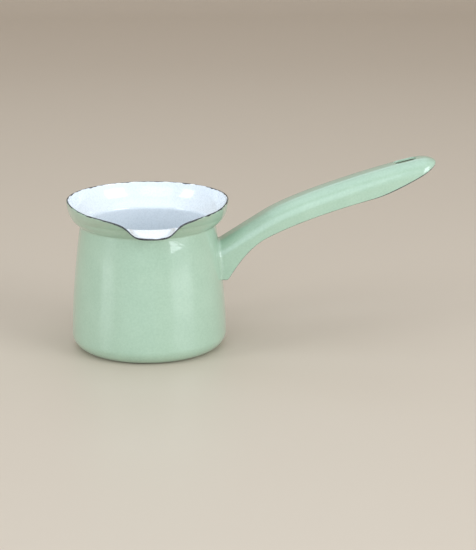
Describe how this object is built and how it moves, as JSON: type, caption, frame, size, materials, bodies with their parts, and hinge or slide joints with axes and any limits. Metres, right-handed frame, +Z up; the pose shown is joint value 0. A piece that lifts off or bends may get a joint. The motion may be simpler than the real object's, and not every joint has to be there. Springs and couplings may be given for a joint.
{
  "type": "candle melting pot",
  "caption": "Small enamelled steel pot with a waisted neck, a flared collar with a side pouring lip, and a long upswept channel handle with a hanging hole.",
  "frame": {"origin": "centre of the flat base, on the surface that the pot stands on", "axes": "+X along the handle, from the pot's axis to the handle's tip; +Z up along the pot's axis; the pouring lip faces -Y"},
  "size_m": [0.207, 0.0981, 0.1046],
  "materials": {
    "steel": "pickled sheet",
    "green_enamel": "gloss",
    "white_enamel": "gloss",
    "ground_coat": "semi-gloss"
  },
  "bodies": {
    "root": {"body_steel": "steel", "outside_enamel": "green_enamel", "inside_enamel": "white_enamel", "rim_ground_coat": "ground_coat", "handle_steel": "steel", "handle_weld": "steel", "handle_top_enamel": "green_enamel", "weld_enamel": "green_enamel", "handle_underside_enamel": "green_enamel", "handle_edge_ground_coat": "ground_coat", "hole_ground_coat": "ground_coat"}
  },
  "joints": []
}
